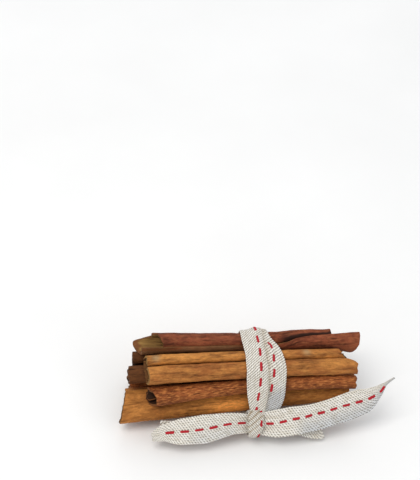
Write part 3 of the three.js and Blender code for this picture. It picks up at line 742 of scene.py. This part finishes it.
knotPlace = np.array(ribbon["knot"])
knotCorners = np.array([[knotPlace[1] + 1.6, knotPlace[2] + 1.4], [knotPlace[1] + 2.2, knotPlace[2] - 2.6]])
wrapReach = ringReach(np.concatenate(tiedPlaces + [knotCorners]))
knotAngle = math.atan2(knotPlace[2] - ribbon["ringCentre"][1], knotPlace[1] - ribbon["ringCentre"][0])


def layWrap(name, left, right, lift):
    angle = knotAngle - wrapTurn * 2 * math.pi
    index = (angle / (2 * math.pi) * len(wrapReach)) % len(wrapReach)
    low = np.floor(index).astype(int)
    reach = wrapReach[low] * (1 - (index - low)) + wrapReach[(low + 1) % len(wrapReach)] * (index - low)
    t = np.linspace(0, 1, ribbon["across"])[None, :]
    turn = wrapTurn[:, None]
    x = left[:, None] * (1 - t) + right[:, None] * t
    r = reach[:, None] + ribbon["clear"] + ribbon["thick"] / 2 + lift(turn, t)
    y = ribbon["ringCentre"][0] + np.cos(angle)[:, None] * r
    z = ribbon["ringCentre"][1] + np.sin(angle)[:, None] * r
    grid = np.stack([x, y, np.maximum(z, ribbon["thick"] / 2 + 0.02)], -1)
    distance, length = measureRing(grid)
    # painted tan shade in the valley beside the first wrap, painted cool shade where the knot shades the
    # second
    past = x - wrapEdge("crease")[:, None]
    crease = 0.8 * np.exp(-((past - 0.3) / 0.75) ** 2) * smoothStep(0.0, 0.05, turn)
    crease = crease * (0.55 + 0.45 * layeredNoise(x / 1.2, distance / 2.5, 71))
    coolShade = (1 - smoothStep(0.07, 0.13, turn)) * (0.9 if name == "secondWrap" else 0.0)
    return makeStrip(name, grid, (1 - t) * ribbon["wide"], distance, length, True, crease, coolShade)


wrapRows = 420
wrapTurn = np.arange(wrapRows) / wrapRows
wrapEdges = {  # along X; turn 0 is the knot, 0.3 the top, 0.5 the far side
    "turn": (0, 0.02, 0.04, 0.06, 0.08, 0.12, 0.16, 0.2, 0.24, 0.28, 0.32, 0.36, 0.4, 0.5, 0.6, 0.75, 0.9, 1),
    "left": (1.7, 1.2, 0.8, 0.45, 0.16, 0, 0, 0.1, 0.45, 0.35, 0.1, 0.1, 0.3, 0.3, 0.3, 0.3, 0.9, 1.7),
    "crease": (5.2, 5.7, 6.3, 6.7, 7.1, 7.4, 7.4, 7.3, 7.3, 7.4, 7.4, 7.4, 7.4, 7.2, 7.0, 6.8, 6.2, 5.2),
    "right": (9.0, 10.6, 11.9, 12.6, 12.95, 13.2, 13.5, 13.35, 12.95, 11.9, 10.1, 9.2, 9.4, 10.4, 11, 10.8,
              10.2, 9.0),
}


def wrapEdge(label):
    return smoothRing(np.interp(wrapTurn, wrapEdges["turn"], wrapEdges[label]), np.hanning(17))


def firstLift(turn, t):  # lies over the second wrap near its right edge
    over = 0.5 * smoothStep(0.35, 0.7, t)
    swell = 0.3 * np.sin(math.pi * np.clip((t - 0.15) / 0.85, 0, 1)) * smoothStep(0.05, 0.12, turn)
    return over + swell + 0.08 * np.sin(turn * 40 + t * 3) + 0.3 * np.exp(-turn / 0.035) * np.sin(t * 9)


def secondLift(turn, t):
    swell = 0.5 * np.exp(-((t - 0.56) / 0.17) ** 2)
    swell = swell * smoothStep(0.04, 0.12, turn) * (1 - smoothStep(0.6, 0.8, turn))
    return swell + 0.06 * np.sin(turn * 33 + t * 4 + 1) - 0.1 * smoothStep(0.8, 1, t)


knot = {"rows": 140, "half": 2.75, "out": 2.8, "up": 4.1, "crown": 0.5, "pleat": 0.26,
        "narrow": 0.3, "lean": 0.55}


def layKnot():
    turn = np.arange(knot["rows"]) / knot["rows"]
    angle = math.pi + turn * 2 * math.pi  # starts behind, so that the join is hidden
    t = np.linspace(-1, 1, ribbon["across"])[None, :]
    slant = math.sqrt(0.5)
    up, out = np.array([0, slant, slant]), np.array([0, -slant, slant])
    front = np.cos(angle)[:, None]
    high = np.sin(angle)[:, None]
    fold = np.sin(6 * t - 14 * high + 1.6) * (0.3 + 0.7 * smoothStep(-0.8, 0.5, high - 0.4 * t))
    pleat = knot["pleat"] * fold * (0.6 + 0.4 * front)
    crown = knot["crown"] * (1 - t ** 2)
    outSize = knot["out"] + pleat + crown
    upSize = knot["up"] + 0.5 * pleat + crown
    narrow = 1 - knot["narrow"] * smoothStep(0.25, 1, -high)
    x = knotPlace[0] + knot["half"] * t * narrow * (1 - 0.08 * front) + knot["lean"] * high
    grid = (np.stack([x, x * 0, x * 0], -1)
            + up * (high * upSize)[..., None] + out * (front * outSize)[..., None]
            + np.array([0, knotPlace[1], knotPlace[2]]))
    distance, length = measureRing(grid)
    weft = (t + 1) * ribbon["wide"] / 2
    # painted shade in the knot's pleat valleys
    return makeStrip("knot", grid, weft, distance, length, True, smoothStep(0.0, 0.8, -fold))


left, crease, right = (wrapEdge(label) for label in ("left", "crease", "right"))
strips = [
    layWrap("secondWrap", np.maximum(right - 9.2, left + 1.2), right, secondLift),
    layWrap("firstWrap", left, crease, firstLift),
]
strips += [layLength(name, length) for name, length in ribbon["lengths"].items()]
strips.append(layKnot())

places, quads, weave, shades, start = [], [], [], [], 0
for number, strip in enumerate(strips):
    grid, closed = strip["grid"], strip["closed"]
    rows, cols = grid.shape[:2]
    normal = gridNormals(grid, closed)
    strip["normal"] = normal
    # scalloped selvedge from the weave
    edge = np.zeros((1, cols))
    edge[0, 0], edge[0, -1] = -1, 1
    across = unit(np.gradient(grid, axis=1))
    depth, period = ribbon["scallop"]
    scallop = depth * np.sin(strip["place"][..., 1] * 2 * math.pi / period) * edge
    grid = grid + across * scallop[..., None]
    thick = ribbon["thick"] / 2 * (1 - 0.5 * np.abs(edge))
    top = grid + normal * thick[..., None]
    low = grid - normal * thick[..., None]
    places += [top.reshape(-1, 3), low.reshape(-1, 3)]
    flat = sheetQuads(rows, cols, 0, closed)
    quads += [flat + start, flat[:, ::-1] + start + rows * cols]
    if closed:
        ring = np.arange(rows)
        after = (ring + 1) % rows
        for column, turnRound in ((0, False), (cols - 1, True)):
            a, b = ring * cols + column, after * cols + column
            side = np.stack([a, b, b + rows * cols, a + rows * cols], 1) + start
            quads.append(side[:, ::-1] if turnRound else side)
    else:
        loop = borderLoop(rows, cols)
        after = np.roll(loop, -1)
        quads.append(np.stack([loop, loop + rows * cols, after + rows * cols, after], 1) + start)
    spot = np.concatenate([strip["place"], np.full((rows, cols, 1), number * 7.0)], -1).reshape(-1, 3)
    weave += [spot, spot]
    dotted = np.full((rows, cols, 1), 1.0 if strip["name"] in ribbon["lengths"] else 0.0)
    shade = np.concatenate([strip["shade"], dotted], -1).reshape(-1, 3)
    shades += [shade, shade]
    start += 2 * rows * cols
ribbonCloth = placeMesh("ribbon_cloth", places, quads, {"weavePlace": weave, "weaveShade": shades})


stitch = {"wide": 0.86, "high": 0.34, "rings": 11, "sides": 8}

plainSeam = {"column": 0.5, "start": 1.2, "period": 5.0, "dash": 2.8, "bend": 0, "lean": 0,
             "hidden": (), "drift": ((0, 1), (0, 0))}
seams = {  # column across the ribbon from 0 to 1; start, period and dash along it
    "firstWrap": {"column": 0.63, "start": -0.8, "period": 5.3, "dash": 3.4, "bend": -0.28, "lean": 0.08},
    "secondWrap": {"column": 0.505, "start": 7.7, "period": 5.3, "dash": 3.2, "lean": 0.1,
                   "hidden": (4, 5), "drift": ((21.0, 24.0, 28.0, 33.0), (0, 0.05, 0.12, 0))},
    "leftLoop": {"start": 0.3, "period": 4.9, "dash": 3.3, "hidden": (6,)},
    "rightTail": {"start": 3.75, "period": 4.48, "dash": 2.9, "hidden": (10,),
                  "drift": ((0, 8, 20, 30, 38, 41, 45), (0, 0.03, 0.1, 0.09, 0.02, -0.05, -0.2))},
    "knot": {"column": 0.84, "start": 3.6, "period": 5.3, "dash": 2.7},
}


def sewLine(strip, side):  # side -1 is the back of the cloth, where the thread shows in between
    seam = {**plainSeam, **seams.get(strip["name"], {})}
    grid, normal = strip["grid"], strip["normal"] * side
    distance = strip["place"][:, grid.shape[1] // 2, 1]
    column = seam["column"] + seam["bend"] * np.exp(-distance / 5)
    column = column + seam["lean"] * np.clip((distance - 15) / 10, -1, 1)
    column = column + np.interp(distance, *seam["drift"])
    cell = column * (grid.shape[1] - 1)
    k = np.minimum(cell.astype(int), grid.shape[1] - 2)
    w = (cell - k)[:, None]
    row = np.arange(len(grid))
    line = grid[row, k] * (1 - w) + grid[row, k + 1] * w
    outward = normal[row, k] * (1 - w) + normal[row, k + 1] * w
    found = []
    number = 0
    start = seam["start"] if side > 0 else seam["start"] + seam["period"] / 2
    while start + seam["dash"] < strip["length"] - (0.4 if side > 0 else 6.0):
        s = start + seam["dash"] * np.linspace(0, 1, stitch["rings"])
        around = strip["length"] if strip["closed"] else None
        centre, up = (np.stack([np.interp(s, distance, values[:, c], period=around) for c in range(3)], 1)
                      for values in (line, outward))
        across = unit(np.cross(np.gradient(centre, axis=0), up))
        if number not in seam["hidden"]:
            found.append((centre, up, across))
        number += 1
        start += seam["period"]
    return found


def buildStitches():
    places, quads, thread, start = [], [], [], 0
    rng = np.random.RandomState(7)
    sides = stitch["sides"]
    angle = np.arange(sides) * 2 * math.pi / sides
    plan = []
    for strip in strips:
        plan += sewLine(strip, 1) + sewLine(strip, -1)
    for centre, up, across in plan:
        w = np.linspace(-1, 1, len(centre))
        body = np.maximum(0.02, 1 - np.abs(w) ** 9) ** 0.5
        wide = stitch["wide"] / 2 * body * rng.uniform(0.9, 1.1)
        high = stitch["high"] / 2 * body
        lift = ribbon["thick"] / 2 + 0.08 - 0.24 * np.abs(w) ** 6
        skew = rng.uniform(-0.08, 0.08) * w
        ring = (centre[:, None] + up[:, None] * (lift[:, None] + high[:, None] * np.sin(angle))[..., None]
                + across[:, None] * (skew[:, None] + wide[:, None] * np.cos(angle))[..., None])
        ring[..., 2] = np.maximum(ring[..., 2], 0.02)
        rows = len(centre)
        places.append(ring.reshape(-1, 3))
        i = np.arange(rows - 1)[:, None]
        k = np.arange(sides)[None, :]
        j = (k + 1) % sides
        corners = [i * sides + k, i * sides + j, (i + 1) * sides + j, (i + 1) * sides + k]
        quads.append(np.stack(corners, -1).reshape(-1, 4) + start)
        for row, turnRound in ((0, True), (rows - 1, False)):
            first = row * sides + start
            cap = first + np.array([[0, 1, 2, 3], [0, 3, 4, 7], [4, 5, 6, 7]])
            quads.append(cap[:, ::-1] if turnRound else cap)
        thread.append(np.stack([np.repeat(np.arange(rows) * 0.3, sides), np.tile(angle, rows),
                                np.full(rows * sides, start * 0.01)], 1))
        start += rows * sides
    return placeMesh("ribbon_stitching", places, quads, {"threadPlace": thread})


stitching = buildStitches()
print("stitches sewn")


def twillGroup():
    group, given, out = newGroup(
        "twillWeave", {"Place": None, "Pitch": 0.95, "Slant": 0.45, "Dotted": 0.0},
        ("Ribs", "Gaps", "Slub", "Height"))
    add, subtract, multiply, divide, power, sine = arithmetic(
        group, "add subtract multiply divide power sine")
    place = split(group, given["Place"])
    wander = placedNoise(group, given["Place"], (0.6, 0.6, 1.0), 2.0)
    wander = multiply(subtract(wander, 0.5), 0.7)
    slanted = add(place["Y"], multiply(place["X"], given["Slant"]))
    turns = divide(add(slanted, wander), given["Pitch"])
    rib = sine(multiply(turns, 2 * math.pi))
    crossing = sine(multiply(place["X"], 2 * math.pi / 0.83))
    beads = add(multiply(crossing, 0.5), 0.5)
    ribs = add(multiply(rib, 0.5), 0.5)
    valley = power(subtract(1.0, ribs), 2.0)
    between = add(multiply(given["Dotted"], 0.34), 0.5)
    dots = subtract(1.0, multiply(subtract(1.0, beads), between))
    setInputs(group, out, {
        "Ribs": ribs, "Gaps": multiply(valley, dots),
        "Slub": placedNoise(group, given["Place"], (1.3, 0.35, 1.0), 4.0, 0.65),
        "Height": add(multiply(ribs, 0.7), multiply(beads, 0.3))})
    return group


linen = {"light": (248, 243, 233), "mid": (222, 213, 196), "gap": (68, 56, 40),
         "gapAmount": 0.94, "bump": 0.6}


def linenMaterial():
    material, tree, shader = startMaterial("linenTwill")
    shade = split(tree, readMark(tree, "weaveShade"))
    values = {"Place": readMark(tree, "weavePlace"), "Pitch": 0.95, "Slant": 0.6, "Dotted": shade["Z"]}
    marks = addNode(tree, "Group", values, node_tree=twillGroup()).outputs
    [multiply] = arithmetic(tree, "multiply")
    light, mid, gap = (tone(*linen[key]) for key in ("light", "mid", "gap"))
    body = ramp(tree, marks["Slub"], [(0.35, mid), (0.6, light)])
    body = mixColour(tree, multiply(marks["Gaps"], linen["gapAmount"]), body, gap)
    # painted shade: tan in creases and in the valley between the wraps, cool where the cloth faces down or
    # lies under the knot
    body = mixColour(tree, shade["X"], body, tone(196, 178, 152), "MULTIPLY")
    body = mixColour(tree, shade["Y"], body, tone(220, 226, 238), "MULTIPLY")
    setInputs(tree, shader, {
        "Base Color": body, "Roughness": 0.9, "Sheen Weight": 0.25, "Specular IOR Level": 0.2,
        "Normal": bumpNormal(tree, marks["Height"], linen["bump"], 0.0004)})
    return material


def threadMaterial():
    material, tree, shader = startMaterial("redThread")
    place = readMark(tree, "threadPlace")
    add, multiply, sine = arithmetic(tree, "add multiply sine")
    spot = split(tree, place)
    twist = add(multiply(spot["X"], 12.0), spot["Y"])
    ply = sine(multiply(twist, 2.0))
    fuzz = placedNoise(tree, place, (3.0, 1.0, 1.0), 3.0)
    shade = add(multiply(ply, 0.25), fuzz)
    setInputs(tree, shader, {
        "Base Color": ramp(tree, shade, [(0.3, tone(142, 2, 20)), (0.7, tone(208, 14, 34))]),
        "Roughness": 0.75, "Normal": bumpNormal(tree, ply, 0.4, 0.0001)})
    return material


ribbonCloth.data.materials.append(linenMaterial())
ribbonCloth.data.set_sharp_from_angle(angle=sharpAngle)
stitching.data.materials.append(threadMaterial())
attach(ribbonCloth, "root")
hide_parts("ribbon")
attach(stitching, "root")


floor = {"half": 1.2, "colour": (246, 245, 243)}


def buildFloor():
    half = floor["half"]
    mesh = bpy.data.meshes.new("floor")
    corners = [(-half, -half, 0), (half, -half, 0), (half, half, 0), (-half, half, 0)]
    mesh.from_pydata(corners, [], [(0, 1, 2, 3)])
    obj = addObject("floor", mesh)
    material, tree, shader = startMaterial("paleFloor")
    grain = addNode(tree, "TexNoise", {"Scale": 40.0, "Detail": 3.0})
    body = ramp(tree, grain.outputs["Fac"], [(0.3, tone(*floor["colour"])), (0.7, tone(250, 249, 247))])
    setInputs(tree, shader, {"Base Color": body, "Roughness": 0.8})
    obj.data.materials.append(material)


view = {
    "azimuth": -12.0, "elevation": 45.0, "roll": 5.05,
    "distance": 535.5, "sensor": 36.0, "mmPerPixel": 0.34,
    "frame": (420, 480), "axisPixel": (240, 370),  # where the bundle's axis point stands in the frame
}


def buildCamera():
    a, e, roll = (math.radians(view[key]) for key in ("azimuth", "elevation", "roll"))
    right = np.array([math.cos(a), math.sin(a), 0])
    up = np.array([-math.sin(a) * math.sin(e), math.cos(a) * math.sin(e), math.cos(e)])
    back = np.cross(right, up)
    c, s = math.cos(roll), math.sin(roll)
    right, up = right * c + up * s, -right * s + up * c
    centre = np.array([0, 0, bundle["axisHeight"]]) + np.array(bundle["shift"])
    width, height = view["frame"]
    px, py = view["axisPixel"]
    scale = view["mmPerPixel"]
    target = centre + right * (width / 2 - px) * scale + up * (py - height / 2) * scale
    data = bpy.data.cameras.new("camera")
    data.sensor_fit = "HORIZONTAL"
    data.sensor_width = view["sensor"]
    data.lens = view["distance"] * view["sensor"] / (width * scale)
    data.clip_start = 0.01
    camera = addObject("camera", data)
    place = (target + back * view["distance"]) * 0.001
    camera.matrix_world = Matrix((
        (right[0], up[0], back[0], place[0]), (right[1], up[1], back[1], place[1]),
        (right[2], up[2], back[2], place[2]), (0, 0, 0, 1)))
    bpy.context.scene.camera = camera


lights = {
    "key": {"place": (-260, -160, 620), "size": 380, "power": 2.2, "colour": (1.0, 0.985, 0.96)},
    "fill": {"place": (380, -420, 360), "size": 500, "power": 0.6, "colour": (0.96, 0.98, 1.0)},
    "rim": {"place": (80, 480, 420), "size": 360, "power": 0.6, "colour": (1.0, 1.0, 1.0)},
}


def buildLights():
    aim = Vector((0, 0, 0.01))
    for name, light in lights.items():
        data = bpy.data.lights.new(name, "AREA")
        data.size = light["size"] / 1000
        data.energy = light["power"]
        data.color = light["colour"]
        obj = addObject(name, data)
        obj.location = Vector(light["place"]) / 1000
        obj.rotation_euler = (aim - obj.location).to_track_quat("-Z", "Y").to_euler()
    world = bpy.data.worlds.new("studio")
    world.use_nodes = True
    sky = {"Color": (0.93, 0.96, 1.0, 1.0), "Strength": 0.6}
    setInputs(world.node_tree, world.node_tree.nodes["Background"], sky)
    bpy.context.scene.world = world
    bpy.context.scene.view_settings.view_transform = "Standard"


buildFloor()
buildCamera()
buildLights()
print("floor, camera and lights placed")
